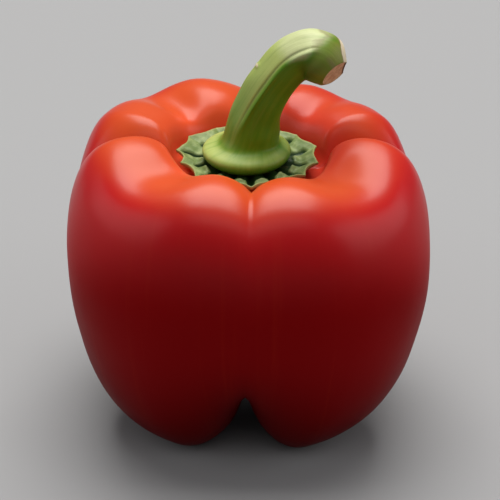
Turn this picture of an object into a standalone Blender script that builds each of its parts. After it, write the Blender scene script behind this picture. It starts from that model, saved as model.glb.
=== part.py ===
"""A blocky red bell pepper that stands on the four lobes of its own underside.

Units are metres and +Z is up. The origin is on the surface that the pepper stands on, under the middle of its
box, and its front faces -Y. It is three pieces: the fruit, the calyx that lies in the hollow between its
shoulders, and the stem that stands on the calyx and hooks over to +X.

Each piece starts as a UV sphere, whose rows and columns are drawn out to the piece's own surface.
"""

import math
from collections import namedtuple

import bmesh
import bpy
import numpy as np
from mathutils import Matrix, Vector

# Driving dimensions
FRUIT_WIDTH = 0.088
FRUIT_HEIGHT = 0.076
CALYX_RADIUS = 0.0188
CALYX_THICKNESS = 0.0015
STEM_THICKNESS = 0.0108
FIT_GAP = 0.0003

# The two lines that the fruit is drawn between, from the middle of its top, over a shoulder, down its side
# and under it to the blossom end: the crest of a lobe, and the furrow between two lobes. Each station is
# (radius as a share of the half width, height as a share of the fruit's height).
CREST = (
    (0.000, 0.850),
    (0.250, 0.848),
    (0.420, 0.866),
    (0.520, 0.962),
    (0.650, 1.003),
    (0.840, 0.955),
    (0.960, 0.810),
    (0.995, 0.605),
    (0.950, 0.390),
    (0.845, 0.190),
    (0.655, 0.046),
    (0.450, 0.000),
    (0.250, 0.060),
    (0.000, 0.130),
)
FURROW = (
    (0.000, 0.850),
    (0.250, 0.845),
    (0.400, 0.845),
    (0.500, 0.858),
    (0.630, 0.882),
    (0.800, 0.885),
    (0.930, 0.785),
    (0.965, 0.600),
    (0.910, 0.420),
    (0.725, 0.280),
    (0.540, 0.225),
    (0.380, 0.190),
    (0.200, 0.150),
    (0.000, 0.130),
)

# Where the rim, the middle of the side, the feet and the blossom end are along those lines, and how many
# stations each one's own shape spreads over
RIM_STATION, RIM_SPREAD = 4.2, 2.5
SIDE_STATION, SIDE_SPREAD = 7.5, 2.4
FOOT_STATION, FOOT_SPREAD = 11.0, 2.2
LAST_STATION, END_SPREAD = 13, 3.5

# A lobe runs from its furrow's bearing, in degrees from +X, to the next lobe's. twist is how much further
# round that furrow ends at the blossom end, depth how deep it is where it crosses the rim, notch how deep it
# is under the fruit, and width how far round it reaches to each side at the rim, in lobes. reach scales the
# lobe's radius, foot that of its foot, rise lifts its shoulder, and dip is how far the hollow halfway along
# that shoulder goes towards a furrow.
Lobe = namedtuple("Lobe", "furrow twist depth notch width reach foot rise dip")
LOBES = (
    Lobe(-89.0, -5.5, 0.60, 1.00, 0.27, 1.014, 1.005, 0.0000, 0.50),
    Lobe(7.0, -3.0, 1.00, 0.95, 0.22, 0.930, 1.000, -0.0010, 0.20),
    Lobe(88.0, -5.5, 0.80, 0.90, 0.32, 1.040, 1.010, -0.0010, 0.50),
    Lobe(184.5, -27.0, 0.90, 0.60, 0.19, 0.990, 1.055, 0.0000, 0.50),
)
LOW_FURROW_WIDTH = 0.36
FURROW_CREASE = 0.15
SIDE_FURROW_SOFTNESS = 0.85
DIP_WIDTH, DIP_SPREAD = 0.2, 1.5
CORNER_SWELL, CORNER_SPREAD = 0.055, 3.0
FOOT_SINK = 0.0005

# The calyx: fused sepals that make a thin star. Each tip is (bearing in degrees from +X, radius as a share
# of the calyx's). A crease runs out to every tip, and the panel between two creases is puffed up.
CALYX_TIPS = (
    (-86, 0.99),
    (-61, 0.96),
    (-36, 0.96),
    (-11, 0.98),
    (19, 0.99),
    (47, 0.97),
    (80, 0.97),
    (116, 0.99),
    (140, 1.00),
    (165, 0.99),
    (190, 0.99),
    (218, 0.97),
    (247, 0.96),
)
CALYX_HOLLOW = 0.14
CALYX_RIM_THICKNESS = 0.0007
CALYX_LIFT = 0.0022
CALYX_PUFF = 0.0010
CALYX_CREASE = 1.5
CALYX_SEAT_RADIUS = 0.0099
CALYX_SEAT_HEIGHT = CREST[0][1] * FRUIT_HEIGHT - FOOT_SINK + FIT_GAP + CALYX_THICKNESS

# The stem's stations from its foot to the cut: the point of its axis, with its height above the foot, and
# its radius as a share of the stem's thickness where it is thinnest
STEM = (
    (-0.0002, 0.0, 0.0, 0.80),
    (-0.0002, 0.0, 0.0012, 0.93),
    (0.0000, 0.0, 0.0026, 0.80),
    (0.0004, 0.0, 0.0046, 0.625),
    (0.0012, 0.0, 0.0083, 0.595),
    (0.0026, 0.0, 0.0128, 0.555),
    (0.0047, 0.0, 0.0178, 0.525),
    (0.0074, 0.0, 0.0222, 0.50),
    (0.0106, 0.0, 0.0254, 0.50),
    (0.0135, -0.0003, 0.0266, 0.58),
    (0.0157, -0.0010, 0.0263, 0.64),
    (0.0178, -0.0020, 0.0252, 0.58),
    (0.0198, -0.0030, 0.0240, 0.38),
)
STEM_FOOT_HEIGHT = CALYX_SEAT_HEIGHT + FIT_GAP
STEM_RIBS = 5
STEM_RIB_DEPTH = 0.06
STEM_RIB_START = 4.0
CUT_NORMAL = Vector((0.74, -0.60, -0.30))
CUT_STATIONS = 3.0

# Columns round each piece and rows down it
FRUIT_GRID = (80, 38)
CALYX_GRID = (6 * len(CALYX_TIPS), 16)
STEM_GRID = (25, 34)
STEM_FOOT_ROWS = 3
STEM_CUT_ROWS = 4

Finish = namedtuple("Finish", "name colour roughness")
FRUIT_SKIN = Finish("fruit_skin", (0.58, 0.02, 0.01, 1.0), 0.25)
CALYX_GREEN = Finish("calyx_green", (0.13, 0.22, 0.08, 1.0), 0.5)
STEM_GREEN = Finish("stem_green", (0.27, 0.36, 0.07, 1.0), 0.45)


def spline(values, level=False):
    """Controls of the cubic B-spline through evenly spaced values. Its ends run on straight, or level."""
    count = len(values)
    rows = np.zeros((count + 2, count + 2))
    for i in range(count):
        rows[i + 1, i : i + 3] = (1 / 6, 4 / 6, 1 / 6)
    ends = (1, 0, -1) if level else (1, -2, 1)
    rows[0, :3] = ends
    rows[-1, -3:] = ends
    return np.linalg.solve(rows, [0.0, *values, 0.0])


def spline_at(controls, station):
    """The spline's value at a station, where 0 is its first value and 1 is its second."""
    first = min(int(station), len(controls) - 4)
    f = station - first
    weights = ((1 - f) ** 3, 3 * f**3 - 6 * f**2 + 4, -3 * f**3 + 3 * f**2 + 3 * f + 1, f**3)
    return float(np.dot(weights, controls[first : first + 4])) / 6


CREST_RADIUS = spline([radius for radius, _ in CREST])
CREST_HEIGHT = spline([height for _, height in CREST], level=True)
FURROW_RADIUS = spline([radius for radius, _ in FURROW])
FURROW_HEIGHT = spline([height for _, height in FURROW], level=True)
STEM_SPLINES = [spline(values) for values in zip(*STEM)]


def bell(x, width):
    """1 at x = 0, falling smoothly to nothing within a few widths."""
    return math.exp(-((x / width) ** 2))


def blend(a, b, share):
    return a + (b - a) * share


def ease(x):
    """0 to 1 as x goes from 0 to 1, with level ends."""
    return 0.5 - 0.5 * math.cos(math.pi * x)


def between_bearings(start, end, share):
    """The bearing, in radians, that lies a share of the way from start round to end, both in degrees."""
    return math.radians(start + (end - start) % 360 * share)


def lobe_value(turn, field):
    """A field of the lobes, eased from the middle of one lobe to the middle of the next."""
    lobe = math.floor(turn - 0.5)
    values = [getattr(LOBES[(lobe + i) % len(LOBES)], field) for i in (0, 1)]
    return blend(*values, ease(turn - 0.5 - lobe))


def lobe_bearing(turn, station):
    lobe = math.floor(turn)
    ends = [LOBES[(lobe + i) % len(LOBES)] for i in (0, 1)]
    return between_bearings(*(end.furrow + end.twist * station / LAST_STATION for end in ends), turn - lobe)


def furrow_share(turn, station):
    """1 at the bottom of a furrow and 0 on a lobe: sharp creases between round lobes, soft on the side."""
    rim = bell(station - RIM_STATION, RIM_SPREAD)
    side = bell(station - SIDE_STATION, SIDE_SPREAD)
    end = bell(station - LAST_STATION, END_SPREAD)
    share = 0.0
    for furrow in range(-1, len(LOBES) + 2):
        lobe = LOBES[furrow % len(LOBES)]
        x = abs(turn - furrow) / blend(lobe.width, LOW_FURROW_WIDTH, max(end, side))
        if x < 1:
            depth = blend(1.0, lobe.depth, rim) * blend(1.0, lobe.notch, end)
            rounded = math.hypot(x, FURROW_CREASE) - FURROW_CREASE
            rounded /= math.hypot(1, FURROW_CREASE) - FURROW_CREASE
            crease = 1 - math.sqrt(1 - (1 - rounded) ** 2)
            share += depth * blend(crease, ease(1 - x), SIDE_FURROW_SOFTNESS * side)
    return min(share, 1.0)


def fruit_point(turn, station):
    """A point of the fruit's skin. turn counts lobes round the fruit, and station runs down its profile."""
    furrow = furrow_share(turn, station)
    within = turn - math.floor(turn)
    dip = lobe_value(turn, "dip") * bell(within - 0.5, DIP_WIDTH) * bell(station - RIM_STATION, DIP_SPREAD)
    share = min(furrow + dip * (1 - furrow), 1.0)
    radius = blend(spline_at(CREST_RADIUS, station), spline_at(FURROW_RADIUS, station), share)
    height = blend(spline_at(CREST_HEIGHT, station), spline_at(FURROW_HEIGHT, station), share)
    corner = math.sin(math.pi * within) ** 2 * bell(station - SIDE_STATION, CORNER_SPREAD)
    radius *= FRUIT_WIDTH / 2 * lobe_value(turn, "reach") * (1 + CORNER_SWELL * corner)
    radius *= blend(1.0, lobe_value(turn, "foot"), bell(station - FOOT_STATION, FOOT_SPREAD))
    rise = lobe_value(turn, "rise") * bell(station - RIM_STATION, RIM_SPREAD)
    height = max(height * FRUIT_HEIGHT + rise - FOOT_SINK, 0.0)
    angle = lobe_bearing(turn, station)
    return radius * math.cos(angle), radius * math.sin(angle), height


def calyx_point(turn, fall):
    """A point of the calyx. turn counts tips. fall is 0 in the middle of its top, 0.5 at its rim, 1 below."""
    first = math.floor(turn)
    (start, reach), (end, next_reach) = (CALYX_TIPS[(first + i) % len(CALYX_TIPS)] for i in (0, 1))
    tip = 1 - abs(math.sin(math.pi * turn)) ** 0.8
    rim = CALYX_RADIUS * blend(reach, next_reach, ease(turn - first)) * (1 - CALYX_HOLLOW * (1 - tip))
    radius = rim * (1 - abs(2 * fall - 1))
    beyond = min(max(radius - CALYX_SEAT_RADIUS, 0.0) / (rim - CALYX_SEAT_RADIUS), 1.0)
    if fall < 0.5:
        offset = CALYX_PUFF * math.sin(math.pi * beyond) * (1 - CALYX_CREASE * tip)
    else:
        offset = -blend(CALYX_THICKNESS, CALYX_RIM_THICKNESS, beyond)
    height = CALYX_SEAT_HEIGHT + CALYX_LIFT * beyond**1.5 + offset
    angle = between_bearings(start, end, turn - first)
    return radius * math.cos(angle), radius * math.sin(angle), height


def stem_station(station):
    """(centre, radius) of the stem at a station, where 0 is its foot."""
    x, y, height, radius = (spline_at(controls, station) for controls in STEM_SPLINES)
    return Vector((x, y, STEM_FOOT_HEIGHT + height)), radius * STEM_THICKNESS


def stem_point(turn, fall):
    """A point of the stem. fall runs from 0 in the middle of its foot, along it, to 1 in the cut face."""
    rows = STEM_GRID[1]
    foot = STEM_FOOT_ROWS / rows
    cut = STEM_CUT_ROWS / rows
    last = len(STEM) - 1
    station = last * min(max((fall - foot) / (1 - foot - cut), 0.0), 1.0)
    centre, radius = stem_station(station)
    along = Vector((0.0, 0.0, 1.0))
    if station > 0:
        step = 0.01
        along = stem_station(min(station + step, last))[0] - stem_station(station - step)[0]
        along.normalize()
    across = Vector((0.0, 1.0, 0.0)).cross(along).normalized()
    angle = math.tau * turn
    out = across * math.cos(angle) - along.cross(across) * math.sin(angle)
    slant = (max(station - last + CUT_STATIONS, 0.0) / CUT_STATIONS) ** 2
    out -= along * slant * out.dot(CUT_NORMAL) / along.dot(CUT_NORMAL)
    ribs = 1 + STEM_RIB_DEPTH * math.cos(STEM_RIBS * angle) * min(station / STEM_RIB_START, 1.0)
    ring = min(fall / foot, 1.0) * min((1 - fall) / cut, 1.0)
    return centre + out * radius * ribs * ring


def paint(obj, finish):
    material = bpy.data.materials.new(finish.name)
    material.use_nodes = True
    shader = material.node_tree.nodes["Principled BSDF"]
    shader.inputs["Base Color"].default_value = finish.colour
    shader.inputs["Roughness"].default_value = finish.roughness
    shader.inputs["Metallic"].default_value = 0.0
    obj.data.materials.append(material)


def drawn_out(name, grid, place, finish, collection):
    """A UV sphere with each vertex moved to place(turn, fall): turn is 0 to 1 round it, fall 0 to 1 down it."""
    columns, rows = grid
    mesh = bpy.data.meshes.new(name)
    ball = bmesh.new()
    bmesh.ops.create_uvsphere(ball, u_segments=columns, v_segments=rows, radius=1.0)
    for vertex in ball.verts:
        fall = math.acos(max(-1.0, min(1.0, vertex.co.z))) / math.pi
        turn = math.atan2(vertex.co.y, vertex.co.x) / math.tau % 1.0
        vertex.co = place(turn, fall)
    if ball.calc_volume(signed=True) < 0:
        bmesh.ops.reverse_faces(ball, faces=ball.faces)
    ball.to_mesh(mesh)
    ball.free()
    mesh.shade_smooth()
    obj = bpy.data.objects.new(name, mesh)
    collection.objects.link(obj)
    paint(obj, finish)
    return obj


def fruit(collection):
    def place(turn, fall):
        return fruit_point(turn * len(LOBES), fall * LAST_STATION)

    return drawn_out("fruit", FRUIT_GRID, place, FRUIT_SKIN, collection)


def calyx(collection):
    def place(turn, fall):
        return calyx_point(turn * len(CALYX_TIPS), fall)

    return drawn_out("calyx", CALYX_GRID, place, CALYX_GREEN, collection)


def stem(collection):
    return drawn_out("stem", STEM_GRID, stem_point, STEM_GREEN, collection)


def centre_over_origin(objects):
    """Moves the pieces together, so that the middle of their box is over the origin."""
    points = [vertex.co for obj in objects for vertex in obj.data.vertices]
    middle = [(min(p[i] for p in points) + max(p[i] for p in points)) / 2 for i in (0, 1)]
    for obj in objects:
        obj.data.transform(Matrix.Translation((-middle[0], -middle[1], 0.0)))


def main():
    for obj in list(bpy.data.objects):
        bpy.data.objects.remove(obj)
    collection = bpy.data.collections.new("bell_pepper")
    bpy.context.scene.collection.children.link(collection)
    centre_over_origin([fruit(collection), calyx(collection), stem(collection)])


if __name__ == "__main__":
    main()
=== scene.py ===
"""A blocky red bell pepper, with its skin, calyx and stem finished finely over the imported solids.

Units are metres and +Z is up. The pepper stands on the floor over the origin, its front faces -Y, and
its stem hooks over to +X. Each piece is a ball of fine rows and columns, drawn out to the piece's own
surface. Places along a piece are counted in stations: 0 is its first profile point and 1 its second.
"""

import math
from collections import namedtuple

import bmesh
import bpy
import numpy as np
from bpy.props import FloatProperty, FloatVectorProperty, PointerProperty
from bpy.types import Operator, Panel, PropertyGroup
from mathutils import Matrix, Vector

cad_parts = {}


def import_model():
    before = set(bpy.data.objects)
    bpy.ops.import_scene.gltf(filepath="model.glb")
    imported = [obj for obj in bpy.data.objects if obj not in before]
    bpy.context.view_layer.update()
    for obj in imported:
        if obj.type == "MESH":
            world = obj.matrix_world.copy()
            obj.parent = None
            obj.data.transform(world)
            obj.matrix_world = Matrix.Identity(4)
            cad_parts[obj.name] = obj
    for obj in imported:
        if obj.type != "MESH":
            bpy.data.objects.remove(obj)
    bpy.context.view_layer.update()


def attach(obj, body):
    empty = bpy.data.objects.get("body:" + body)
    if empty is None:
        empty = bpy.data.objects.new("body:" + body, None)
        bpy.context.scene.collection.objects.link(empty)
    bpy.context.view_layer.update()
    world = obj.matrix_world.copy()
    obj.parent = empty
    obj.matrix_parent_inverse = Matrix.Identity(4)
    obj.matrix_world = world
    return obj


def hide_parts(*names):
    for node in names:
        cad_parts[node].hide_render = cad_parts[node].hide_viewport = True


bl_info = {
    "name": "Bell Pepper",
    "version": (1, 0, 0),
    "blender": (4, 5, 0),
    "location": "3D View > Sidebar > Pepper",
    "description": "Builds a red bell pepper, its calyx and its cut stem, and a studio around it",
    "category": "Add Mesh",
}

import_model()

MM = 0.001

# A gradual change: where it starts, and how far it goes on
Band = namedtuple("Band", "start reach")

# Smooth unevenness: its wavelength, and the seed of its directions
Waves = namedtuple("Waves", "length seed")

# The crest of a lobe and the furrow between two lobes, from the middle of the top, over a shoulder, down
# the side and under to the blossom end: (radius as a share of the half width, height as a share of the
# height)
CREST = (
    (0.000, 0.850),
    (0.250, 0.848),
    (0.396, 0.866),
    (0.450, 0.953),
    (0.622, 1.001),
    (0.840, 0.956),
    (0.960, 0.810),
    (0.995, 0.605),
    (0.950, 0.390),
    (0.845, 0.190),
    (0.655, 0.046),
    (0.450, 0.000),
    (0.250, 0.060),
    (0.000, 0.130),
)
FURROW = (
    (0.000, 0.850),
    (0.250, 0.845),
    (0.400, 0.845),
    (0.500, 0.858),
    (0.630, 0.882),
    (0.800, 0.885),
    (0.930, 0.785),
    (0.965, 0.600),
    (0.910, 0.420),
    (0.725, 0.280),
    (0.540, 0.225),
    (0.380, 0.190),
    (0.200, 0.150),
    (0.000, 0.130),
)
RIM_STATION, RIM_SPREAD = 4.2, 2.5
SIDE_STATION, SIDE_SPREAD = 7.5, 2.4
FOOT_STATION, FOOT_SPREAD = 11.0, 2.2
LAST_STATION, END_SPREAD = 13, 3.5

# A lobe runs from its furrow's bearing, in degrees from +X, to the next lobe's. The furrow turns by its
# twist on its way down. depth and notch say how deep it is at the rim and at the feet, and width how much
# of the lobe it takes at the rim. reach and foot say how far out the lobe and its foot stand, rise how far
# its shoulder stands over the crest, and dip and fold how deep and wide the fold in its shoulder is.
Lobe = namedtuple("Lobe", "furrow twist depth notch width reach foot rise dip fold")
LOBES = (
    Lobe(-87.5, -6.5, 0.37, 1.00, 0.25, 1.014, 1.005, -0.0014, 0.50, 0.20),
    Lobe(7.0, -3.0, 1.00, 0.95, 0.15, 0.930, 1.000, -0.0012, 0.22, 0.13),
    Lobe(88.0, -5.5, 0.80, 0.90, 0.32, 1.050, 1.010, -0.0014, 0.42, 0.12),
    Lobe(184.5, -27.0, 0.90, 0.60, 0.14, 0.990, 1.085, 0.0000, 0.50, 0.20),
)
LOBE_TABLE = {field: np.array([getattr(lobe, field) for lobe in LOBES]) for field in Lobe._fields}
LOW_FURROW_WIDTH = 0.36
SIDE_FURROW_SOFTNESS = 0.85
DIP_SPREAD = 1.5
CORNER_SWELL, CORNER_SPREAD = 0.055, 3.0
FOOT_SINK = 0.0005
FRUIT_GRID = (360, 230)
CAD_FRUIT_GRID = (80, 38)
CAD_FURROW_SOFTNESS = 0.15

# Down the fruit: where the skin is uneven, and where its colours and its shine end or start
UNEVEN_START, UNEVEN_END = Band(2.0, 1.5), Band(11.0, 2.0)
# The hollow round the calyx is painted a lighter orange down to here: painted light
BOWL_LIGHT_END = Band(2.2, 1.6)
# Painted shade, crimson, on the side of the hollow that the stem shades, down to here
CRIMSON_SHADE_END = Band(2.6, 1.6)
# The shoulders' orange, partly their own colour and partly painted light, ends here
SHOULDER_END = Band(3.9, 1.8)
# From here down the lower half is painted darker: partly its own deep red, partly painted shade
UNDERSIDE_SHADE_START = Band(4.9, 2.3)
DULL_START = Band(5.0, 1.9)
# From here down the feet are painted a near-black red: painted shade
FEET_SHADE_START = Band(7.4, 2.3)

# The left and right flanks take the painted shade of the lower half, and lose their shine, this many
# stations further down
FLANK_UNSHADED, FLANK_SHINE = 1.2, 0.3
FLANK_SHARPNESS = 4

# The hollow's shaded side: its bearing, and the cosines from it over which the shade comes on
SHADED_BEARING = math.radians(22)
SHADED_COSINES = Band(0.1, 0.75)
SHADED_SHOULDER, SHADED_BOWL = 0.35, 0.6

BROAD_WAVES, SMALL_WAVES, SMALL_WAVE_SHARE = Waves(0.026, 3), Waves(0.010, 8), 0.15
FLUTE_WAVES = Waves(0.0045, 12)
SKIN_GRAIN_STEP = 0.35 * MM

# The calyx's tips: (bearing in degrees from +X, radius as a share of the calyx's)
CALYX_TIPS = (
    (-88, 0.90),
    (-61, 0.90),
    (-36, 0.92),
    (-11, 0.94),
    (19, 0.965),
    (45, 0.93),
    (80, 0.96),
    (117, 0.99),
    (143, 1.03),
    (168, 1.00),
    (191, 0.925),
    (219, 0.91),
    (246, 0.90),
)
CALYX_HOLLOW = 0.085
CALYX_TIP_SHARPNESS = 0.85
CALYX_THICKNESS = 0.0015
CALYX_SEAT_RADIUS = 0.0101
CALYX_SEAT_SHARE = 0.5
CALYX_SEAT_ROWS = 0.12
CALYX_GRID = (24 * len(CALYX_TIPS), 120)
CALYX_SHIFT = (-0.0003, 0.0, 0.0)
CALYX_WAVES, CALYX_WAVE_HEIGHT = Waves(0.005, 21), 0.10 * MM
FIT_GAP = 0.0003

# Between the collar at 0 and the rim at 1: how deep and how long the creases are, how large the knobs are
# and where they sit, each drawn between two limits
CREASE_SEED = 5
CREASE_DEPTHS, CREASE_REACHES = (0.75, 1.2), (0.42, 0.85)
KNOB_SIZES, KNOB_PLACES = (0.6, 1.2), (0.12, 0.22)
CREASE_WIDTHS, CREASE_NARROWING = (0.19, 0.095), 1.4
PANEL_EDGE = 0.24
KNOB_WIDTH, KNOB_LENGTH = 0.2, 0.11
TROUGH_PLACE, TROUGH_LENGTH = 0.42, 0.16
CURL_START = Band(0.72, 0.28)
# The channel next to the collar takes painted shade: how far it reaches, and how dark it is
CHANNEL_LENGTH, CHANNEL_SHADE = 0.13, 0.8
RIM_BAND = 1.1 * MM

# How far each form of the calyx stands up, as a share of its puff
RELIEF = {"panel": 0.3, "knob": 0.75, "trough": -0.3, "crease": -0.75, "curl": 0.15}

# The stem's stations from its foot to its end: the point of its axis, with its height above the foot, its
# radius as a share of the stem's thickness, and the bearing of its sharpest rib
STEM = (
    (-0.0008, 0.0, 0.0, 0.74, 126),
    (-0.0008, 0.0, 0.0018, 0.94, 126),
    (-0.0008, 0.0, 0.0037, 0.925, 126),
    (-0.0003, 0.0, 0.0048, 0.715, 125),
    (0.0002, 0.0, 0.0061, 0.61, 124),
    (0.0007, 0.0, 0.0087, 0.58, 121),
    (0.0017, 0.0, 0.0128, 0.53, 115),
    (0.0037, 0.0, 0.0178, 0.50, 108),
    (0.0065, 0.0, 0.0224, 0.49, 106),
    (0.0099, 0.0, 0.0260, 0.505, 108),
    (0.0133, -0.0004, 0.0273, 0.54, 113),
    (0.0158, -0.0012, 0.0269, 0.575, 117),
    (0.0178, -0.0024, 0.0252, 0.50, 120),
    (0.0193, -0.0034, 0.0235, 0.36, 122),
)
STEM_RIBS = 5
STEM_RIB_STRENGTH = (1.0, 0.25, 0.3, 0.3, 0.3)
STEM_GRID = (240, 260)
STEM_FOOT_SHARE = 0.02
STEM_CAP_SHARE = 0.10
STEM_CAP_HEIGHT = 0.0012

# Across a rib, in radians from it: the round of the stem's side, the sharp rib, and the groove behind it
RIB_ROUND, RIB_WIDTH = 0.3, 0.08
GROOVE_PLACE, GROOVE_WIDTH, GROOVE_DEPTH = 0.19, 0.06, 0.38
RIBS_START, RIBS_END, RIBS_LOST = Band(4.2, 2.6), Band(10, 1.5), 0.9

# The collar's rings are level, and lean with the stalk from here on
LEAN_START = Band(3, 3)

# The inside of the bend, round the stem and along it, where its skin is drawn tight
BEND_COSINES = Band(-0.55, 0.9)
BEND_START, BEND_END = Band(7.6, 1.6), Band(11.4, 1.2)
BEND_ROUNDS = 90

# The two faces that the stem was cut off in, as a point of each one and the way it faces. Heights are
# above the stem's foot. The first is the small one in front, and the second looks away from it.
CUTS = (
    (Vector((0.0195, -0.0034, 0.0231)), Vector((0.62, -0.62, -0.48)).normalized()),
    (Vector((0.0204, 0.0010, 0.0267)), Vector((0.94, 0.34, 0.0)).normalized()),
)
CUTS_FROM_STATION = 8
UNCUT_DEPTH = -0.01
CUT_HOLLOW, CUT_HOLLOW_REACH = 0.25 * MM, 0.3 * MM

# Along the stem: its unevenness, and where its colours start and end
STALK_START, STALK_END = Band(3.5, 2), Band(11.5, 1.5)
STALK_WAVES, STALK_WAVE_HEIGHT = Waves(0.007, 31), 0.14 * MM
FIBRE_WAVES, FIBRE_WAVE_HEIGHT = Waves(0.0018, 32), 0.02 * MM
STALK_GRAIN_STEP = 0.06
COLLAR_STATION, COLLAR_SPREAD = 2.3, 1.1
# The collar: partly its own pale tone all round, partly painted light, more on its left
COLLAR_LIT_BEARING, COLLAR_LIT_COSINES = math.radians(195), Band(-0.2, 1.1)
COLLAR_PALE, COLLAR_LIT_LEFT = 0.5, 0.4
# Painted shade under the collar's edge, up to here
FOOT_SHADE_END = Band(0.7, 1.0)
# The side of the stem towards the light is painted lighter, more so up the stem: painted light
LIT_SIDE_START, LIT_SIDE_END = Band(0.02, 0.2), Band(2.9, 0.8)
LIT_SIDE_RISE_START, LIT_SIDE_AT_COLLAR = Band(4.5, 5.5), 0.32
# The top of the bend is creamy: partly its own dry tone, partly painted light on its upward side
CREAM_START, CREAM_LIT_SIDE = Band(8, 1.8), Band(-0.1, 0.8)
UPPER_SIDE = Band(0.25, 0.4)
GREEN_END_START, GREEN_END_SHARE = Band(10.2, 1.3), 0.85
GROOVE_SHADE_WIDTH = 0.055
GROOVE_SHADE_START, GROOVE_SHADE_END = Band(4.6, 2), Band(9.5, 1.5)
HOLLOW_SHADE_START = Band(9, 1)
SCAR_STATION, SCAR_SPREAD, SCAR_SHARE = 4.6, 0.9, 0.3

# Two small marks, a nick and a painted highlight on the bulb: (station, its spread, turn round the stem,
# its spread)
NICK, NICK_HEIGHT = (7.85, 0.08, 0.475, 0.022), 0.4 * MM
BULB_HIGHLIGHT = (11.35, 0.4, 0.31, 0.10)

# The soft lights: name, place, width and height of the face, watts and colour
AIM = Vector((0.0005, -0.0001, 0.0418))
WHITE = (1.0, 1.0, 1.0)
SOFTBOXES = (
    ("overhead_softbox", (0.0, 0.42, 1.30), (1.12, 1.25), 30.0, (1.0, 0.985, 0.96)),
    ("front_softbox", (0.0, -0.95, 1.35), (1.6, 0.7), 3.5, WHITE),
    ("left_softbox", (-1.25, -0.10, 0.50), (1.3, 0.8), 4.0, WHITE),
    ("right_softbox", (1.25, -0.10, 0.50), (1.3, 0.8), 5.5, WHITE),
)
SKY_COLOUR, SKY_STRENGTH = (0.80, 0.81, 0.83, 1.0), 0.18
SENSOR_WIDTH = 36.0
FLOOR_TONE = 0.97


def spline(values, level=False):
    """Controls of the cubic B-spline through evenly spaced values. Its ends run on straight, or level."""
    count = len(values)
    rows = np.zeros((count + 2, count + 2))
    for i in range(count):
        rows[i + 1, i : i + 3] = (1 / 6, 4 / 6, 1 / 6)
    ends = (1, 0, -1) if level else (1, -2, 1)
    rows[0, :3] = ends
    rows[-1, -3:] = ends
    return np.linalg.solve(rows, [0.0, *values, 0.0])


def spline_at(controls, station):
    """The spline's values at stations, where 0 is its first value and 1 is its second."""
    first = np.clip(np.floor(station), 0, len(controls) - 4).astype(int)
    f = station - first
    weights = ((1 - f) ** 3, 3 * f**3 - 6 * f**2 + 4, -3 * f**3 + 3 * f**2 + 3 * f + 1, f**3)
    return sum(weight * controls[first + i] for i, weight in enumerate(weights)) / 6


CREST_RADIUS = spline([radius for radius, _ in CREST])
CREST_HEIGHT = spline([height for _, height in CREST], level=True)
FURROW_RADIUS = spline([radius for radius, _ in FURROW])
FURROW_HEIGHT = spline([height for _, height in FURROW], level=True)
STEM_SPLINES = [spline(values) for values in zip(*STEM)]


def bell(x, width):
    """1 at x = 0, falling smoothly to nothing within a few widths."""
    return np.exp(-((x / width) ** 2))


def blend(a, b, share):
    return a + (b - a) * share


def ease(x):
    """0 to 1 as x goes from 0 to 1, with level ends."""
    return 0.5 - 0.5 * np.cos(np.pi * np.clip(x, 0, 1))


def past(x, band):
    """0 up to where the band starts, easing to 1 at its end."""
    return ease((x - band.start) / band.reach)


def before(x, band):
    """1 up to where the band starts, easing to 0 at its end."""
    return 1 - past(x, band)


def ripple(points, waves):
    """Smooth unevenness, mostly between -1 and 1: sine waves that cross in seeded directions."""
    source = np.random.default_rng(waves.seed)
    directions = source.normal(size=(9, 3))
    directions /= np.linalg.norm(directions, axis=1, keepdims=True)
    lengths = waves.length * source.uniform(0.7, 1.6, len(directions))
    phases = source.uniform(0, math.tau, len(directions))
    heights = np.sin(points @ (directions / lengths[:, None]).T * math.tau + phases)
    return heights.mean(axis=1) * 1.8


def between_bearings(start, end, share):
    """The bearing, in radians, a share of the way from start round to end, which are in degrees."""
    return np.radians(start + (end - start) % 360 * share)


def lobe_value(turn, field):
    """A field of the lobes, eased from the middle of one lobe to the middle of the next."""
    lobe = np.floor(turn - 0.5).astype(int)
    values = LOBE_TABLE[field]
    here, ahead = values[lobe % len(LOBES)], values[(lobe + 1) % len(LOBES)]
    return blend(here, ahead, ease(turn - 0.5 - lobe))


def lobe_bearing(turn, station):
    """The bearing of a place on the fruit, whose furrows twist on their way down."""
    lobe = np.floor(turn).astype(int)
    down = station / LAST_STATION
    start, end = (
        LOBE_TABLE["furrow"][i % len(LOBES)] + LOBE_TABLE["twist"][i % len(LOBES)] * down
        for i in (lobe, lobe + 1)
    )
    return between_bearings(start, end, turn - lobe)


def furrow_share(turn, station, sharpness):
    """1 at the bottom of a furrow and 0 on a lobe: sharp creases, which are soft down the side."""
    rim = bell(station - RIM_STATION, RIM_SPREAD)
    side = bell(station - SIDE_STATION, SIDE_SPREAD)
    end = bell(station - LAST_STATION, END_SPREAD)
    share = np.zeros_like(turn)
    for furrow in range(-1, len(LOBES) + 2):
        lobe = LOBES[furrow % len(LOBES)]
        x = np.abs(turn - furrow) / blend(lobe.width, LOW_FURROW_WIDTH, np.maximum(end, side))
        depth = blend(1.0, lobe.depth, rim) * blend(1.0, lobe.notch, end)
        rounded = (np.hypot(x, sharpness) - sharpness) / (math.hypot(1, sharpness) - sharpness)
        crease = 1 - np.sqrt(np.maximum(1 - (1 - np.minimum(rounded, 1)) ** 2, 0))
        crossing = blend(crease, ease(1 - x), SIDE_FURROW_SOFTNESS * side)
        share += np.where(x < 1, depth * crossing, 0)
    return np.minimum(share, 1.0)


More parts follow.
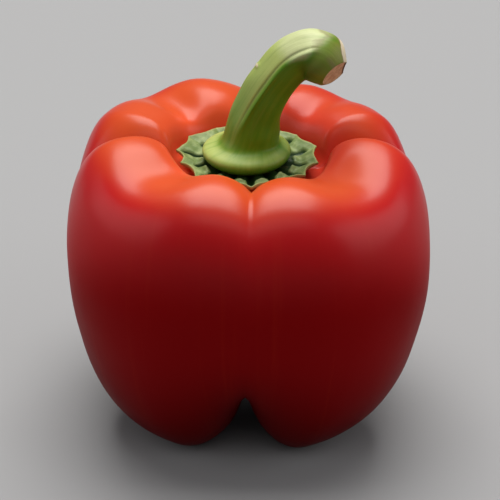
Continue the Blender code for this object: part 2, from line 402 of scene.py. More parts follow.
def fruit_surface(fruit, turn, station, sharpness):
    """Points of the fruit's skin. turn counts lobes round the fruit."""
    furrow = furrow_share(turn, station, sharpness)
    within = turn - np.floor(turn)
    dip = lobe_value(turn, "dip") * bell(within - 0.5, lobe_value(turn, "fold"))
    dip *= bell(station - RIM_STATION, DIP_SPREAD)
    share = np.minimum(furrow + dip * (1 - furrow), 1.0)
    radius = blend(spline_at(CREST_RADIUS, station), spline_at(FURROW_RADIUS, station), share)
    height = blend(spline_at(CREST_HEIGHT, station), spline_at(FURROW_HEIGHT, station), share)
    corner = np.sin(np.pi * within) ** 2 * bell(station - SIDE_STATION, CORNER_SPREAD)
    radius *= fruit.width / 2 * lobe_value(turn, "reach") * (1 + CORNER_SWELL * corner)
    radius *= blend(1.0, lobe_value(turn, "foot"), bell(station - FOOT_STATION, FOOT_SPREAD))
    rise = lobe_value(turn, "rise") * bell(station - RIM_STATION, RIM_SPREAD)
    height = np.maximum(height * fruit.height + rise - FOOT_SINK, 0.0)
    angle = lobe_bearing(turn, station)
    return np.stack((radius * np.cos(angle), radius * np.sin(angle), height), axis=1)


def pepper_middle(fruit):
    """The middle of the fruit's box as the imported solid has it, which stands over the origin."""
    columns, rows = CAD_FRUIT_GRID
    turns = np.arange(columns) / columns * len(LOBES)
    stations = np.arange(rows + 1) / rows * LAST_STATION
    turn, station = np.meshgrid(turns, stations)
    points = fruit_surface(fruit, turn.ravel(), station.ravel(), CAD_FURROW_SOFTNESS)
    middle = (points.min(axis=0) + points.max(axis=0)) / 2
    return np.array((middle[0], middle[1], 0.0))


def seat_height(fruit):
    """The height of the calyx's middle."""
    return CREST[0][1] * fruit.height - FOOT_SINK + FIT_GAP + CALYX_THICKNESS


def calyx_surface(calyx, height, turn, fall):
    """(points of the calyx, its creases and the painted shade of the channel by the collar, its rim, its
    knobs). turn counts tips, and fall runs from the middle of its top, past its rim at 0.5, to the middle
    of its underside."""
    tips = np.array(CALYX_TIPS, float)
    first = np.floor(turn).astype(int) % len(tips)
    second = (first + 1) % len(tips)
    within = turn - np.floor(turn)
    tip = 1 - np.abs(np.sin(np.pi * turn)) ** CALYX_TIP_SHARPNESS
    rim = calyx.radius * blend(tips[first, 1], tips[second, 1], ease(within))
    rim = rim * (1 - CALYX_HOLLOW * (1 - tip))
    out = 1 - np.abs(2 * fall - 1)
    beyond_seat = (out - CALYX_SEAT_ROWS) / (1 - CALYX_SEAT_ROWS) * (1 - CALYX_SEAT_SHARE)
    out = np.where(
        out < CALYX_SEAT_ROWS,
        out / CALYX_SEAT_ROWS * CALYX_SEAT_SHARE,
        CALYX_SEAT_SHARE + beyond_seat,
    )
    radius = rim * out
    beyond = np.clip((radius - CALYX_SEAT_RADIUS) / (rim - CALYX_SEAT_RADIUS), 0, 1)
    source = np.random.default_rng(CREASE_SEED)
    crease_depth = source.uniform(*CREASE_DEPTHS, len(tips))
    crease_reach = source.uniform(*CREASE_REACHES, len(tips))
    knob_size = source.uniform(*KNOB_SIZES, len(tips))
    knob_place = source.uniform(*KNOB_PLACES, len(tips))
    nearest = np.where(within < 0.5, first, second)
    aside = np.minimum(within, 1 - within)
    wide = blend(*CREASE_WIDTHS, np.clip(beyond * CREASE_NARROWING, 0, 1))
    ending = ease((crease_reach[nearest] + 0.1 - beyond) * 5)
    crease = ease(1.5 - aside / wide) * ending * crease_depth[nearest]
    knob = bell(aside - 0.5, KNOB_WIDTH) * bell(beyond - knob_place[first], KNOB_LENGTH)
    knob = knob * knob_size[first]
    panel = ease(aside / PANEL_EDGE)
    forms = {
        "panel": panel,
        "knob": knob,
        "trough": bell(beyond - TROUGH_PLACE, TROUGH_LENGTH) * panel,
        "crease": crease,
        "curl": past(beyond, CURL_START),
    }
    raised = calyx.puff * sum(RELIEF[form] * amount for form, amount in forms.items())
    nose = calyx.rim_thickness / 2
    over = np.clip((radius - (rim - nose)) / nose, 0, 1)
    rounding = nose * (1 - np.sqrt(np.maximum(1 - over**2, 0)))
    top = fall <= 0.5
    under = blend(CALYX_THICKNESS, calyx.rim_thickness, beyond)
    offset = np.where(top, raised - rounding, -under + rounding + np.minimum(raised, 0) * 0.3)
    lift = calyx.lift * beyond**1.5
    angle = between_bearings(tips[first, 0], tips[second, 0], within)
    points = np.stack((radius * np.cos(angle), radius * np.sin(angle), height + lift + offset), axis=1)
    edge = np.clip(1 - (rim - radius) / RIM_BAND, 0, 1)
    # Painted shade in the channel next to the collar, round the knobs
    channel = bell(beyond, CHANNEL_LENGTH) * (1 - knob)
    return points, np.maximum(crease, channel * CHANNEL_SHADE), np.where(top, edge, 1), knob


def stem_stations(stem, station):
    """(centres, radii, bearings of the sharpest rib) of the stem at stations, where 0 is its foot."""
    x, y, height, radius, bearing = (spline_at(controls, station) for controls in STEM_SPLINES)
    return np.stack((x, y, height), axis=1), radius * stem.thickness, np.radians(bearing)


def bend_hollow(station, turn):
    """1 on the inside of the bend, where the stem is drawn tight, and 0 elsewhere."""
    inner = past(np.cos(math.tau * turn), BEND_COSINES)
    return inner * past(station, BEND_START) * before(station, BEND_END)


def relaxed(points, share, grid, rounds):
    """Points of a ball drawn towards the middle of their neighbours, each by its share, many times."""
    columns, rows = grid
    rings = points[1:-1].reshape(rows - 1, columns, 3).copy()
    share = share[1:-1].reshape(rows - 1, columns, 1)[1:-1]
    for _ in range(rounds):
        beside = np.roll(rings, 1, axis=1) + np.roll(rings, -1, axis=1)
        middle = (beside[1:-1] + rings[:-2] + rings[2:]) / 4
        rings[1:-1] += (middle - rings[1:-1]) * share
    return np.vstack((points[:1], rings.reshape(-1, 3), points[-1:]))


def stem_rings(stem, station):
    """(the way the stem runs, the way across it in the bend) at stations."""
    step = 0.01
    last = len(STEM) - 1
    ahead = stem_stations(stem, np.minimum(station + step, last))[0]
    along = ahead - stem_stations(stem, station - step)[0]
    along /= np.maximum(np.linalg.norm(along, axis=1, keepdims=True), 1e-9)
    along = blend(np.array((0.0, 0.0, 1.0)), along, past(station, LEAN_START)[:, None])
    along /= np.linalg.norm(along, axis=1, keepdims=True)
    across = np.cross((0, 1, 0), along)
    return along, across / np.linalg.norm(across, axis=1, keepdims=True)


def stem_ribs(stem, from_rib, station):
    """The stem's radius as a share of its plain round, at angles from its sharpest rib."""
    spacing = math.tau / STEM_RIBS
    nearest = np.round(from_rib / spacing).astype(int) % STEM_RIBS
    aside = (from_rib + spacing / 2) % spacing - spacing / 2
    grown = past(station, RIBS_START) * (1 - RIBS_LOST * past(station, RIBS_END))
    strength = np.array(STEM_RIB_STRENGTH)[nearest] * grown
    sharp = bell(aside, RIB_WIDTH) - GROOVE_DEPTH * bell(aside - GROOVE_PLACE, GROOVE_WIDTH)
    rib = RIB_ROUND * np.cos(STEM_RIBS * from_rib) + strength * sharp
    return 1 + stem.rib_depth * rib * grown


def stem_surface(stem, turn, fall):
    """(points of the stem over its foot, their stations, their angles from the sharpest rib, and how deep
    each one lay behind each cut)"""
    drawn = (fall - STEM_FOOT_SHARE) / (1 - STEM_FOOT_SHARE - STEM_CAP_SHARE)
    station = (len(STEM) - 1) * np.clip(drawn, 0, 1)
    centre, radius, bearing = stem_stations(stem, station)
    along, across = stem_rings(stem, station)
    angle = math.tau * turn
    out = across * np.cos(angle)[:, None] - np.cross(along, across) * np.sin(angle)[:, None]
    from_rib = (angle - bearing) % math.tau
    ring = np.minimum(fall / STEM_FOOT_SHARE, 1)
    cap = np.minimum((1 - fall) / STEM_CAP_SHARE, 1)
    reach = radius * stem_ribs(stem, from_rib, station) * ring * cap
    points = centre + out * reach[:, None] + along * (STEM_CAP_HEIGHT * (1 - cap**2))[:, None]
    depths = []
    for middle, facing in reversed(CUTS):
        depth = (points - np.array(middle)) @ np.array(facing)
        depth = np.where(station > CUTS_FROM_STATION, depth, UNCUT_DEPTH)
        hollow = CUT_HOLLOW * (1 - np.exp(-np.maximum(depth, 0) / CUT_HOLLOW_REACH))
        points -= np.outer(np.maximum(depth, 0) + hollow, facing)
        depths.append(depth)
    depths.reverse()
    return points, station, from_rib, depths


class Value:
    """A shader socket that takes part in Python expressions. Each operation adds its Math node."""

    def __init__(self, finish, socket):
        self.finish = finish
        self.socket = socket

    def _math(self, operation, *values):
        return self.finish.node("ShaderNodeMath", {"operation": operation}, dict(enumerate(values)))

    def __add__(self, other):
        return self._math("ADD", self, other)

    __radd__ = __add__

    def __sub__(self, other):
        return self._math("SUBTRACT", self, other)

    def __rsub__(self, other):
        return self._math("SUBTRACT", other, self)

    def __mul__(self, other):
        return self._math("MULTIPLY", self, other)

    __rmul__ = __mul__

    def between(self, low, high):
        """0 below low and 1 above high, eased between. low may be the higher of the two."""
        if low > high:
            return 1 - self.between(high, low)
        settings = {"interpolation_type": "SMOOTHSTEP"}
        return self.finish.node("ShaderNodeMapRange", settings, {0: self, 1: low, 2: high})


class Finish:
    """A material, and the nodes that feed its shader."""

    def __init__(self, name, **constants):
        self.material = bpy.data.materials.new(name)
        self.material.use_nodes = True
        self.tree = self.material.node_tree
        self.shader = self.tree.nodes["Principled BSDF"]
        for name, value in constants.items():
            socket = name.replace("_", " ").title().replace("Ior", "IOR")
            self.shader.inputs[socket].default_value = value

    def node(self, kind, settings=None, inputs=None, output=0):
        """One output of a new node, made from its type, its settings and what its sockets are given."""
        node = self.tree.nodes.new(kind)
        for name, value in (settings or {}).items():
            setattr(node, name, value)
        for name, value in (inputs or {}).items():
            self.feed(node.inputs[name], value)
        return Value(self, node.outputs[output])

    def feed(self, socket, value):
        if isinstance(value, Value):
            self.tree.links.new(value.socket, socket)
        else:
            socket.default_value = value

    def give(self, **values):
        """Links values to the shader's sockets."""
        for name, value in values.items():
            self.feed(self.shader.inputs[name.replace("_", " ").title()], value)

    def attribute(self, name, output="Fac"):
        return self.node("ShaderNodeAttribute", {"attribute_name": name}, output=output)

    def position(self):
        return self.node("ShaderNodeTexCoord", output="Object")

    def noise(self, where, scale, detail=2.0, roughness=0.5):
        inputs = {"Vector": where, "Scale": scale, "Detail": detail, "Roughness": roughness}
        return self.node("ShaderNodeTexNoise", None, inputs)

    def mix(self, share, a, b):
        """Colour a blended into colour b."""
        a, b = (value if isinstance(value, Value) else (*value, 1.0) for value in (a, b))
        return self.node("ShaderNodeMix", {"data_type": "RGBA"}, {0: share, 6: a, 7: b}, output=2)

    def bump(self, height, distance):
        inputs = {"Height": height, "Distance": distance, "Strength": 1.0}
        return self.node("ShaderNodeBump", None, inputs)

    def specks(self, where, scale, share, radius):
        """1 inside small round specks, one in a share of the cells of a scatter."""
        settings = {"feature": "F1"}
        inputs = {"Vector": where, "Scale": scale}
        distance = self.node("ShaderNodeTexVoronoi", settings, inputs)
        cell = self.node("ShaderNodeTexVoronoi", settings, inputs, output="Color")
        pick = self.node("ShaderNodeSeparateColor", None, {0: cell}).between(1 - share, 1.02 - share)
        return distance.between(radius * scale, radius * scale * 0.4) * pick


def skin_finish(fruit):
    """Waxy red skin: orange on the shoulders, partly painted light, and deep red below, darkened towards
    the feet by painted shade, with painted light and painted shade in the hollow, faint streaks and tiny
    pale pores.
    """
    skin = Finish(
        "fruit_skin", ior=1.45, specular_ior_level=0.03, coat_ior=1.45, coat_roughness=0.31
    )
    where = skin.position()
    grain = skin.attribute("grain", "Vector")
    mottle = skin.noise(where, 70.0, 3.0)
    streaks = skin.noise(grain, 420.0, 4.0, 0.6)
    shoulder = skin.attribute("shoulder")
    # Orange shoulders: partly their own colour, partly painted light
    lit_warmth = (shoulder + (mottle - 0.5) * 0.3).between(0.0, 1.0)
    lower = 1 - shoulder
    colour = skin.mix(lit_warmth, fruit.side_red, fruit.lit_shoulder_orange)
    # Painted shade on the side of the hollow that the stem shades
    colour = skin.mix(skin.attribute("crimson_shade") * 0.6, colour, fruit.crimson_shade)
    # Painted light in the hollow round the calyx
    colour = skin.mix(skin.attribute("bowl_light") * 0.6, colour, fruit.bowl_lit_orange)
    # The lower half: its own deep red, darkened with painted shade
    depth = (skin.attribute("underside") + (mottle - 0.5) * 0.2).between(0.0, 1.0)
    colour = skin.mix(depth, colour, fruit.low_red_and_shade)
    # Painted shade towards the feet
    colour = skin.mix(skin.attribute("feet") * 0.8, colour, fruit.foot_shade_red)
    colour = skin.mix(streaks.between(0.55, 0.8) * lower * 0.08, colour, fruit.lit_shoulder_orange)
    pores = skin.specks(where, 150.0, 0.06, 0.00022)
    colour = skin.mix(pores * 0.35, colour, fruit.pore_pink)
    scuffs = skin.noise(where, 240.0, 5.0, 0.65)
    roughness = fruit.roughness + (scuffs - 0.5) * 0.1 + (mottle - 0.5) * 0.05
    fine = skin.noise(where, 1500.0, 2.0)
    height = streaks * lower * 0.05 + fine * 0.08 - pores * 0.5
    shine = (fruit.shine + (scuffs - 0.5) * 0.15) * (1 - skin.attribute("dull") * 0.96)
    skin.give(base_color=colour, roughness=roughness, coat_weight=shine)
    skin.give(normal=skin.bump(height, 0.00005))
    return skin.material


def calyx_finish(calyx):
    """Waxy blue-green panels, dark creases out to the tips, partly their deeper green and partly painted
    shade, painted highlights on the knobs, and a thin pale rim.
    """
    leaf = Finish("calyx_green", ior=1.45, specular_ior_level=0.3)
    where = leaf.position()
    mottle = leaf.noise(where, 420.0, 4.0, 0.6)
    colour = leaf.mix(mottle.between(0.3, 0.75), calyx.panel_green, calyx.bloom_and_highlight_green)
    # The creases are painted dark: partly their deeper green, partly painted shade
    crease = (leaf.attribute("crease") + (mottle - 0.5) * 0.2).between(0.1, 0.6)
    colour = leaf.mix(crease * 0.95, colour, calyx.crease_shade_green)
    # Painted highlight on the knobs, in the bloom's green
    colour = leaf.mix(leaf.attribute("knob").between(0.2, 0.9) * 0.45, colour, calyx.bloom_and_highlight_green)
    rim = (leaf.attribute("rim") + (mottle - 0.5) * 0.3).between(0.35, 0.8)
    colour = leaf.mix(rim * 0.85, colour, calyx.rim_green)
    fine = leaf.noise(where, 2600.0, 3.0)
    leaf.give(base_color=colour, roughness=0.46 + (mottle - 0.5) * 0.25)
    leaf.give(normal=leaf.bump(mottle * 0.8 + fine * 0.3, 0.00016))
    return leaf.material


def stem_finish(stem):
    """Ribbed green stalk, pale and partly painted light on its collar, on its side towards the light and
    on top of its bend, olive towards its end, with woody cuts, painted shade in its grooves, in its hollow
    and under its collar, and a painted highlight on its bulb.
    """
    stalk = Finish("stem_green", ior=1.45, specular_ior_level=0.3)
    where = stalk.position()
    grain = stalk.attribute("grain", "Vector")
    fibres = stalk.noise(grain, 1500.0, 4.0, 0.6)
    broad = stalk.noise(grain, 420.0, 3.0, 0.55)
    mottle = stalk.noise(where, 260.0, 3.0)
    wood = stalk.noise(where, 900.0, 4.0, 0.6)

    colour = stalk.mix(broad.between(0.3, 0.7), stem.skin_green, stem.light_green)
    colour = stalk.mix(fibres.between(0.52, 0.78) * 0.35, colour, stem.fibre_and_highlight_green)
    # The collar's own pale tone, and painted light on the collar and on the side towards the light
    pale = (stalk.attribute("pale") + (broad - 0.5) * 0.5).between(0.1, 0.95)
    colour = stalk.mix(pale * 0.9, colour, stem.pale_and_lit_green)
    # Creamy top of the bend: partly its own tone, partly painted light
    cream = (stalk.attribute("cream") + (mottle - 0.5) * 0.5).between(0.2, 0.9)
    colour = stalk.mix(cream * 0.9, colour, stem.lit_cream_green)

    # The green gives way to olive past the bend, along a ragged brown line on the upper side
    upper = stalk.attribute("upper")
    reach = stalk.attribute("along") + (mottle - 0.5) * 0.9 + (broad - 0.5) * 0.9
    end = reach.between(10.45, 10.95) * upper
    colour = stalk.mix(reach.between(10.5, 11.5) * (0.6 + upper * 0.3), colour, stem.olive)
    colour = stalk.mix(end * (1 - end) * (1.2 + fibres * 1.6), colour, stem.scar_brown)

    # Painted shade in the hollow inside the bend
    colour = stalk.mix(stalk.attribute("hollow") * 0.7, colour, stem.groove_shade_green)
    # Painted shade under the collar's edge
    colour = stalk.mix(stalk.attribute("foot") * 0.8, colour, stem.foot_shade_green)
    # Painted shade along the groove beside the sharpest rib
    groove_shade = stalk.attribute("groove_shade").between(0.1, 0.9)
    colour = stalk.mix(groove_shade * 0.36, colour, stem.groove_shade_green)
    colour = stalk.mix(fibres.between(0.5, 0.25) * 0.3, colour, stem.skin_green)
    # Painted highlight down the bulb
    colour = stalk.mix(stalk.attribute("bulb_highlight") * 0.9, colour, stem.fibre_and_highlight_green)
    scars = (stalk.attribute("scar") + (fibres - 0.5) * 0.6).between(0.35, 0.7)
    colour = stalk.mix(scars * 0.6, colour, stem.scar_brown)
    nick = stalk.attribute("nick").between(0.3, 0.7)
    colour = stalk.mix(nick * 0.8, colour, stem.wood_cream)

    # The cuts read how deep they go in millimetres: below 0 is the skin beside them
    front = stalk.attribute("front_cut")
    back = stalk.attribute("back_cut")
    ragged = (mottle - 0.5) * 0.5
    flesh = stalk.mix(wood.between(0.3, 0.7), stem.cut_tan, stem.cut_orange)
    colour = stalk.mix((front + ragged * 0.3).between(0.0, 0.12), colour, flesh)
    colour = stalk.mix((back + ragged * 0.3).between(-0.05, 0.1), colour, flesh)
    dark_edge = (front + ragged * 0.4).between(0.0, 0.1) * (back + ragged).between(-0.45, -0.05)
    colour = stalk.mix(dark_edge * 0.9, colour, stem.cut_brown)
    rim = back + ragged * 3.0
    beside_front = 1 - front.between(-0.05, 0.05)
    colour = stalk.mix(rim.between(-1.5, -1.15) * beside_front * 0.8, colour, stem.scar_brown)
    colour = stalk.mix(rim.between(-1.2, -0.95) * beside_front * 0.9, colour, stem.wood_cream)

    dry = (back.between(-1.0, 0.0) + front.between(0.0, 0.2)).between(0.0, 1.0)
    roughness = stem.roughness + (broad - 0.5) * 0.2 + dry * 0.3
    stalk.give(base_color=colour, roughness=roughness)
    stalk.give(normal=stalk.bump(fibres * 0.6 + mottle * 0.6 + wood * dry * 1.2, 0.00012))
    return stalk.material


def floor_finish(stage):
    """Plain pale paper, a little uneven in tone."""
    paper = Finish("studio_floor")
    tone = paper.noise(paper.position(), 3.0, 2.0)
    darker = [channel * FLOOR_TONE for channel in stage.floor_colour]
    colour = paper.mix(tone, stage.floor_colour, darker)
    paper.give(base_color=colour, roughness=0.75 + tone * 0.05)
    return paper.material


def ball_faces(columns, rows):
    """Faces of a ball whose points run from its top one, ring by ring, to its last one."""
    here = np.arange(columns)
    ahead = (here + 1) % columns
    rings = 1 + np.arange(rows - 1)[:, None] * columns
    upper, lower = rings[:-1], rings[1:]
    bands = np.stack((upper + here, lower + here, lower + ahead, upper + ahead), axis=-1)
    last = rings[-1]
    top = np.stack((0 * here, 1 + here, 1 + ahead), axis=-1)
    bottom = np.stack((last + columns + 0 * here, last + ahead, last + here), axis=-1)
    return bands.reshape(-1, 4).tolist() + top.tolist() + bottom.tolist()


def drawn_out(name, grid, place, material):
    """A ball whose points lie where place(turn, fall) says, where turn is 0 to 1 round it and fall 0 to 1
    down it. place gives the points, how far each one swells out of the surface, and the values that the
    finish reads."""
    columns, rows = grid
    turn = np.concatenate(([0.0], np.tile(np.arange(columns) / columns, rows - 1), [0.0]))
    fall = np.concatenate(([0.0], np.repeat(np.arange(1, rows) / rows, columns), [1.0]))
    points, swell, values = place(turn, fall)
    mesh = bpy.data.meshes.new(name)
    mesh.from_pydata(points.tolist(), [], ball_faces(columns, rows))
    mesh.update()
    check = bmesh.new()
    check.from_mesh(mesh)
    if check.calc_volume(signed=True) < 0:
        bmesh.ops.reverse_faces(check, faces=check.faces)
        check.to_mesh(mesh)
    check.free()
    mesh.update()
    normals = np.empty(len(mesh.vertices) * 3)
    mesh.vertices.foreach_get("normal", normals)
    points = points + normals.reshape(-1, 3) * swell[:, None]
    points[:, 2] = np.maximum(points[:, 2], 0)
    mesh.vertices.foreach_set("co", points.ravel())
    for key, value in values.items():
        kind, field = ("FLOAT_VECTOR", "vector") if value.ndim == 2 else ("FLOAT", "value")
        layer = mesh.attributes.new(key, kind, "POINT")
        layer.data.foreach_set(field, value.astype(np.float32).ravel())
    mesh.shade_smooth()
    mesh.update()
    piece = bpy.data.objects.new(name, mesh)
    bpy.context.scene.collection.objects.link(piece)
    piece.data.materials.append(material)
    return piece


def settle(piece, node):
    """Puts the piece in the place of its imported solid."""
    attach(piece, "root")
    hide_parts(node)


def length(name, default, description, high=1.0):
    return FloatProperty(
        name=name,
        description=description,
        default=default,
        min=0.0,
        max=high,
        unit="LENGTH",
        precision=5,
    )


def colour(name, default, description):
    return FloatVectorProperty(
        name=name,
        description=description,
        default=default,
        size=3,
        min=0,
        max=1,
        subtype="COLOR",
    )


def share(name, default, description):
    return FloatProperty(
        name=name, description=description, default=default, min=0, max=1, subtype="FACTOR"
    )


class PepperFruit(PropertyGroup):
    width: length("Width", 0.088, "Width of the fruit that its profile is drawn to")
    height: length("Height", 0.076, "Height of the fruit's shoulders")
    furrow_softness: share("Furrow softness", 0.10, "Width of the round at the bottom of each furrow")
    unevenness: length("Unevenness", 0.00022, "Depth of the broad waves in the skin", 0.002)
    flutes: length("Flutes", 0.000004, "Depth of the narrow waves that run down the skin", 0.001)
    roughness: share("Roughness", 0.45, "Roughness of the skin under its wax")
    shine: share("Shine", 0.64, "Strength of the wax's shine on the shoulders")
    # Painted shade on the side of the hollow that the stem shades
    crimson_shade: colour("Crimson", (0.50, 0.016, 0.018), "Colour of the hollow's shaded side")
    side_red: colour("Side red", (0.42, 0.004, 0.006), "Colour of the sides")
    # The shoulders' orange: partly their own colour, partly painted light
    lit_shoulder_orange: colour("Shoulder orange", (0.54, 0.062, 0.011), "Colour of the shoulders")
    # Painted light in the hollow round the calyx
    bowl_lit_orange: colour("Bowl orange", (0.86, 0.080, 0.030), "Colour of the hollow round the calyx")
    # The lower half's deep red, darkened with painted shade
    low_red_and_shade: colour("Low red", (0.220, 0.0001, 0.0010), "Colour of the lower half")
    # Painted shade towards the feet
    foot_shade_red: colour("Foot red", (0.070, 0.0001, 0.0005), "Colour towards the feet")
    pore_pink: colour("Pore pink", (0.85, 0.35, 0.22), "Colour of the pores")


class PepperCalyx(PropertyGroup):
    radius: length("Radius", 0.0177, "Distance from the middle to the longest tip")
    lift: length("Lift", 0.0014, "How far the rim is above the middle", 0.01)
    puff: length("Puff", 0.0012, "How far the panels are puffed up", 0.01)
    rim_thickness: length("Rim thickness", 0.0005, "Thickness of the rim", 0.005)
    panel_green: colour("Panel green", (0.120, 0.180, 0.048), "Colour of the panels")
    # The bloom's own colour, also used for the painted highlights on the knobs
    bloom_and_highlight_green: colour("Bloom green", (0.28, 0.345, 0.135), "Colour of the bloom on the panels")
    # The creases' deeper green with painted shade
    crease_shade_green: colour("Crease green", (0.010, 0.040, 0.007), "Colour of the creases")
    rim_green: colour("Rim green", (0.27, 0.30, 0.10), "Colour of the rim")


class PepperStem(PropertyGroup):
    thickness: length("Thickness", 0.0108, "Thickness where the stem is thinnest")
    rib_depth: share("Rib depth", 0.095, "Depth of the ribs as a share of the radius")
    roughness: share("Roughness", 0.42, "Roughness of the stem's skin")
    skin_green: colour("Skin green", (0.050, 0.170, 0.001), "Main colour of the stem")
    light_green: colour("Light green", (0.105, 0.205, 0.004), "Colour of its lighter bands")
    # The fibres' colour, also used for the painted highlight on the bulb
    fibre_and_highlight_green: colour("Fibre green", (0.15, 0.22, 0.030), "Colour of its fibres")
    # The collar's pale tone, also used for painted light on the collar and the stem's side
    pale_and_lit_green: colour("Pale green", (0.39, 0.455, 0.125), "Colour of the collar's and stem's light side")
    # The bend's creamy tone, partly painted light
    lit_cream_green: colour("Cream green", (0.50, 0.535, 0.27), "Colour on top of the bend")
    # Painted shade under the collar's edge
    foot_shade_green: colour("Foot green", (0.075, 0.165, 0.008), "Colour under the edge of the collar")
    olive: colour("Olive", (0.165, 0.172, 0.022), "Colour towards the cut end")
    # Painted shade in the grooves and the hollow
    groove_shade_green: colour("Groove green", (0.030, 0.065, 0.002), "Colour in the grooves")
    scar_brown: colour("Scar brown", (0.19, 0.14, 0.07), "Colour of scars")
    cut_tan: colour("Cut tan", (0.55, 0.36, 0.20), "Colour of the cut face")
    cut_orange: colour("Cut orange", (0.38, 0.22, 0.10), "Colour of the streaks in the cut face")
    cut_brown: colour("Cut brown", (0.05, 0.02, 0.008), "Colour of the cut's dark edge")
    wood_cream: colour("Wood cream", (0.62, 0.52, 0.36), "Colour of the cut's dry rim")


class PepperStage(PropertyGroup):
    floor_size: length("Floor size", 8.0, "Side of the floor", 20.0)
    floor_colour: colour("Floor colour", (0.285, 0.285, 0.289), "Colour of the floor")
    elevation: FloatProperty(
        name="Elevation",
        description="Camera's angle above the floor",
        default=math.radians(29),
        subtype="ANGLE",
    )
    distance: length("Distance", 0.5, "Camera's distance from the middle of the pepper", 5.0)
    lens: FloatProperty(
        name="Lens",
        description="Camera's focal length in millimetres",
        default=148.9,
        min=10,
        max=400,
        unit="CAMERA",
    )


def fruit_place(fruit):
    """What drawn_out asks of the fruit."""
    middle = pepper_middle(fruit)

    def place(turn, fall):
        turn, station = turn * len(LOBES), fall * LAST_STATION
        points = fruit_surface(fruit, turn, station, fruit.furrow_softness)
        angle = lobe_bearing(turn, station)
        round_it = np.stack((np.cos(angle), np.sin(angle)), axis=1) * fruit.width / 2
        grain = np.column_stack((round_it, station * SKIN_GRAIN_STEP))
        swell = (ripple(points, BROAD_WAVES) - 1) * fruit.unevenness
        swell += ripple(points, SMALL_WAVES) * fruit.unevenness * SMALL_WAVE_SHARE
        swell += ripple(grain, FLUTE_WAVES) * fruit.flutes
        swell *= past(station, UNEVEN_START) * before(station, UNEVEN_END)
        shaded = past(np.cos(angle - SHADED_BEARING), SHADED_COSINES)
        flank = np.cos(angle) ** FLANK_SHARPNESS
        values = {
            "grain": grain,
            # Painted light in the hollow round the calyx, weaker on the side that the stem shades
            "bowl_light": before(station, BOWL_LIGHT_END) * (1 - SHADED_BOWL * shaded),
            # Painted shade on the side of the hollow that the stem shades
            "crimson_shade": before(station, CRIMSON_SHADE_END) * shaded,
            # The shoulders' orange, partly painted light, weaker on the side that the stem shades
            "shoulder": before(station, SHOULDER_END) * (1 - SHADED_SHOULDER * shaded),
            # Painted shade over the lower half
            "underside": past(station - FLANK_UNSHADED * flank, UNDERSIDE_SHADE_START),
            # Painted shade towards the feet
            "feet": past(station, FEET_SHADE_START),
            "dull": past(station - FLANK_SHINE * flank, DULL_START),
        }
        return points - middle, swell, values

    return place


def calyx_place(calyx, fruit):
    """What drawn_out asks of the calyx."""
    middle = pepper_middle(fruit)
    height = seat_height(fruit)

    def place(turn, fall):
        points, crease, rim, knob = calyx_surface(calyx, height, turn * len(CALYX_TIPS), fall)
        swell = ripple(points, CALYX_WAVES) * CALYX_WAVE_HEIGHT
        return points - middle + CALYX_SHIFT, swell, {"crease": crease, "rim": rim, "knob": knob}

    return place


def stem_place(stem, fruit):
    """What drawn_out asks of the stem."""
    middle = pepper_middle(fruit)
    foot = np.array((0.0, 0.0, seat_height(fruit) + FIT_GAP))

    def mark(station, turn, place):
        along, spread, around, width = place
        return bell(station - along, spread) * bell(turn - around, width)

    def place(turn, fall):
        points, station, from_rib, (front, back) = stem_surface(stem, turn, fall)
        drawn_tight = bend_hollow(station, turn)
        points = relaxed(points, drawn_tight, STEM_GRID, BEND_ROUNDS)
        round_it = np.column_stack((np.cos(from_rib), np.sin(from_rib), station * STALK_GRAIN_STEP))
        grain = round_it * stem.thickness / 2
        nick = mark(station, turn, NICK)
        swell = ripple(points, STALK_WAVES) * STALK_WAVE_HEIGHT
        swell += ripple(grain, FIBRE_WAVES) * FIBRE_WAVE_HEIGHT
        swell *= past(station, STALK_START) * before(station, STALK_END)
        swell += nick * NICK_HEIGHT

        angle = math.tau * turn
        up = -np.cos(angle)
        green_end = 1 - GREEN_END_SHARE * past(station, GREEN_END_START)
        # Painted light on the collar's left and on the side of the stem towards the light
        collar_lit_side = past(np.cos(angle - COLLAR_LIT_BEARING), COLLAR_LIT_COSINES)
        collar_pale_and_lit = COLLAR_PALE + COLLAR_LIT_LEFT * collar_lit_side
        collar_pale_and_lit *= bell(station - COLLAR_STATION, COLLAR_SPREAD)
        lit_side = past(from_rib, LIT_SIDE_START) * before(from_rib, LIT_SIDE_END)
        lit_side_share = blend(LIT_SIDE_AT_COLLAR, 1.0, past(station, LIT_SIDE_RISE_START))
        # Painted shade along the groove beside the sharpest rib
        groove_shade = bell(from_rib - GROOVE_PLACE, GROOVE_SHADE_WIDTH)
        groove_shade *= past(station, GROOVE_SHADE_START) * before(station, GROOVE_SHADE_END)
        values = {
            "grain": grain,
            "pale": np.maximum(collar_pale_and_lit, lit_side * lit_side_share * green_end),
            "along": station,
            "upper": past(up, UPPER_SIDE),
            # Partly painted light on the upward side of the bend
            "cream": past(station, CREAM_START) * past(up, CREAM_LIT_SIDE) * green_end,
            "hollow": drawn_tight * past(station, HOLLOW_SHADE_START),
            # Painted shade under the collar's edge
            "foot": before(station, FOOT_SHADE_END),
            "groove_shade": groove_shade,
            "scar": bell(station - SCAR_STATION, SCAR_SPREAD) * SCAR_SHARE,
            "nick": nick,
            # Painted highlight down the bulb
            "bulb_highlight": mark(station, turn, BULB_HIGHLIGHT),
            "front_cut": front / MM,
            "back_cut": back / MM,
        }
        return points + foot - middle, swell, values

    return place


class PEPPER_OT_fruit(Operator):
    """Adds the fruit in its red skin"""

    bl_idname = "pepper.fruit"
    bl_label = "Fruit"
    bl_options = {"REGISTER", "UNDO"}

    def execute(self, context):
        fruit = context.scene.pepper_fruit
        finish = skin_finish(fruit)
        piece = drawn_out("fruit_skin_and_flesh", FRUIT_GRID, fruit_place(fruit), finish)
        settle(piece, "fruit")
        return {"FINISHED"}


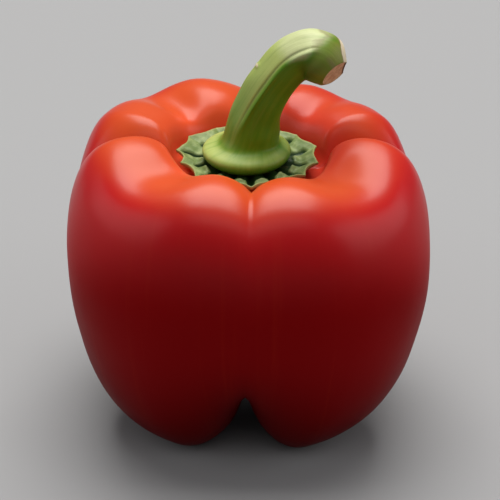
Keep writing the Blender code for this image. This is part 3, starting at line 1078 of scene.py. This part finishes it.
class PEPPER_OT_calyx(Operator):
    """Adds the green star that the stem stands on"""

    bl_idname = "pepper.calyx"
    bl_label = "Calyx"
    bl_options = {"REGISTER", "UNDO"}

    def execute(self, context):
        calyx = context.scene.pepper_calyx
        place = calyx_place(calyx, context.scene.pepper_fruit)
        piece = drawn_out("calyx_star", CALYX_GRID, place, calyx_finish(calyx))
        settle(piece, "calyx")
        return {"FINISHED"}


class PEPPER_OT_stem(Operator):
    """Adds the ribbed stem with its cut end"""

    bl_idname = "pepper.stem"
    bl_label = "Stem"
    bl_options = {"REGISTER", "UNDO"}

    def execute(self, context):
        stem = context.scene.pepper_stem
        place = stem_place(stem, context.scene.pepper_fruit)
        piece = drawn_out("stem_stalk", STEM_GRID, place, stem_finish(stem))
        settle(piece, "stem")
        return {"FINISHED"}


def softbox(name, place, size, power, tint):
    """A soft light that faces the pepper."""
    lamp = bpy.data.lights.new(name, "AREA")
    lamp.shape = "RECTANGLE"
    lamp.size, lamp.size_y = size
    lamp.energy = power
    lamp.color = tint
    holder = bpy.data.objects.new(name, lamp)
    holder.location = place
    holder.rotation_euler = (AIM - Vector(place)).to_track_quat("-Z", "Y").to_euler()
    bpy.context.scene.collection.objects.link(holder)


class PEPPER_OT_stage(Operator):
    """Adds the pale floor, the soft lights and the camera"""

    bl_idname = "pepper.stage"
    bl_label = "Stage"
    bl_options = {"REGISTER", "UNDO"}

    def execute(self, context):
        scene = context.scene
        stage = scene.pepper_stage
        mesh = bpy.data.meshes.new("floor")
        sheet = bmesh.new()
        bmesh.ops.create_grid(sheet, x_segments=4, y_segments=4, size=stage.floor_size / 2)
        sheet.to_mesh(mesh)
        sheet.free()
        mesh.materials.append(floor_finish(stage))
        floor = bpy.data.objects.new("floor", mesh)
        scene.collection.objects.link(floor)

        for light in SOFTBOXES:
            softbox(*light)

        world = bpy.data.worlds.new("studio")
        world.use_nodes = True
        sky = world.node_tree.nodes["Background"].inputs
        sky["Color"].default_value = SKY_COLOUR
        sky["Strength"].default_value = SKY_STRENGTH
        scene.world = world
        scene.view_settings.view_transform = "Standard"

        lens = bpy.data.cameras.new("camera")
        lens.sensor_width = SENSOR_WIDTH
        lens.lens = stage.lens
        camera = bpy.data.objects.new("camera", lens)
        back = Vector((0.0, -math.cos(stage.elevation), math.sin(stage.elevation)))
        camera.location = AIM + back * stage.distance
        camera.rotation_euler = back.to_track_quat("Z", "Y").to_euler()
        scene.collection.objects.link(camera)
        scene.camera = camera
        return {"FINISHED"}


class PEPPER_PT_panel(Panel):
    """Lists the pieces and what can be changed about each"""

    bl_label = "Bell Pepper"
    bl_idname = "PEPPER_PT_panel"
    bl_space_type = "VIEW_3D"
    bl_region_type = "UI"
    bl_category = "Pepper"

    def draw(self, context):
        for operator, group in PIECES:
            box = self.layout.box()
            box.operator(operator.bl_idname)
            settings = getattr(context.scene, group)
            for name in settings.__annotations__:
                box.prop(settings, name)


PIECES = (
    (PEPPER_OT_fruit, "pepper_fruit"),
    (PEPPER_OT_calyx, "pepper_calyx"),
    (PEPPER_OT_stem, "pepper_stem"),
    (PEPPER_OT_stage, "pepper_stage"),
)
GROUPS = {
    "pepper_fruit": PepperFruit,
    "pepper_calyx": PepperCalyx,
    "pepper_stem": PepperStem,
    "pepper_stage": PepperStage,
}
CLASSES = (*GROUPS.values(), *(operator for operator, _ in PIECES), PEPPER_PT_panel)


def register():
    for cls in CLASSES:
        bpy.utils.register_class(cls)
    for name, group in GROUPS.items():
        setattr(bpy.types.Scene, name, PointerProperty(type=group))


def unregister():
    for name in GROUPS:
        delattr(bpy.types.Scene, name)
    for cls in reversed(CLASSES):
        bpy.utils.unregister_class(cls)


def main():
    register()
    bpy.ops.pepper.fruit()
    bpy.ops.pepper.calyx()
    bpy.ops.pepper.stem()
    bpy.ops.pepper.stage()


if __name__ == "__main__":
    main()
